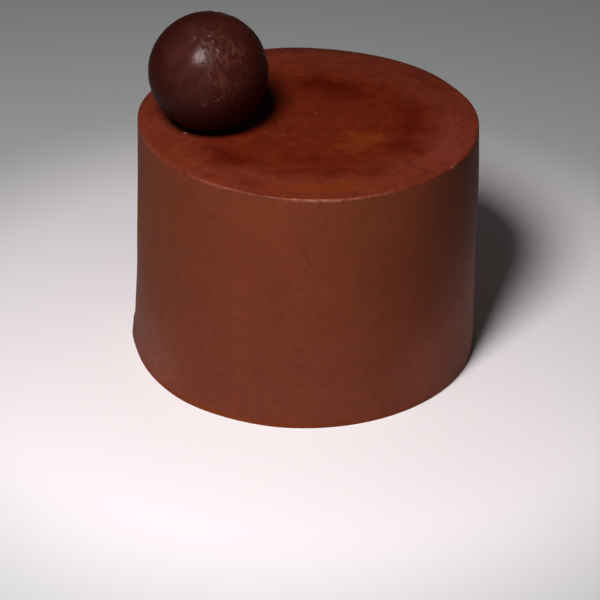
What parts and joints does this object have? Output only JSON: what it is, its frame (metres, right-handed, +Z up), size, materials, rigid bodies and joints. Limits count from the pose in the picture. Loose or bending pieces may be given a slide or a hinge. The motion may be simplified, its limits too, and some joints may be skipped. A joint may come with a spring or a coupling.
{
  "type": "chocolate cake",
  "caption": "Round uncut cake in a smooth satin chocolate coat, with a dark chocolate ball standing near the rim of its flat top.",
  "frame": {"origin": "middle of the cake's flat base, on the surface that it stands on", "axes": "+Z up the height of the cake, -Y towards its front, -X towards the side where the ball stands"},
  "size_m": [0.1531, 0.1526, 0.1599],
  "materials": {
    "chocolate_coat": "satin",
    "dark_chocolate": "satin"
  },
  "bodies": {
    "root": {"cake": "chocolate_coat", "chocolate_ball": "dark_chocolate"}
  },
  "joints": []
}
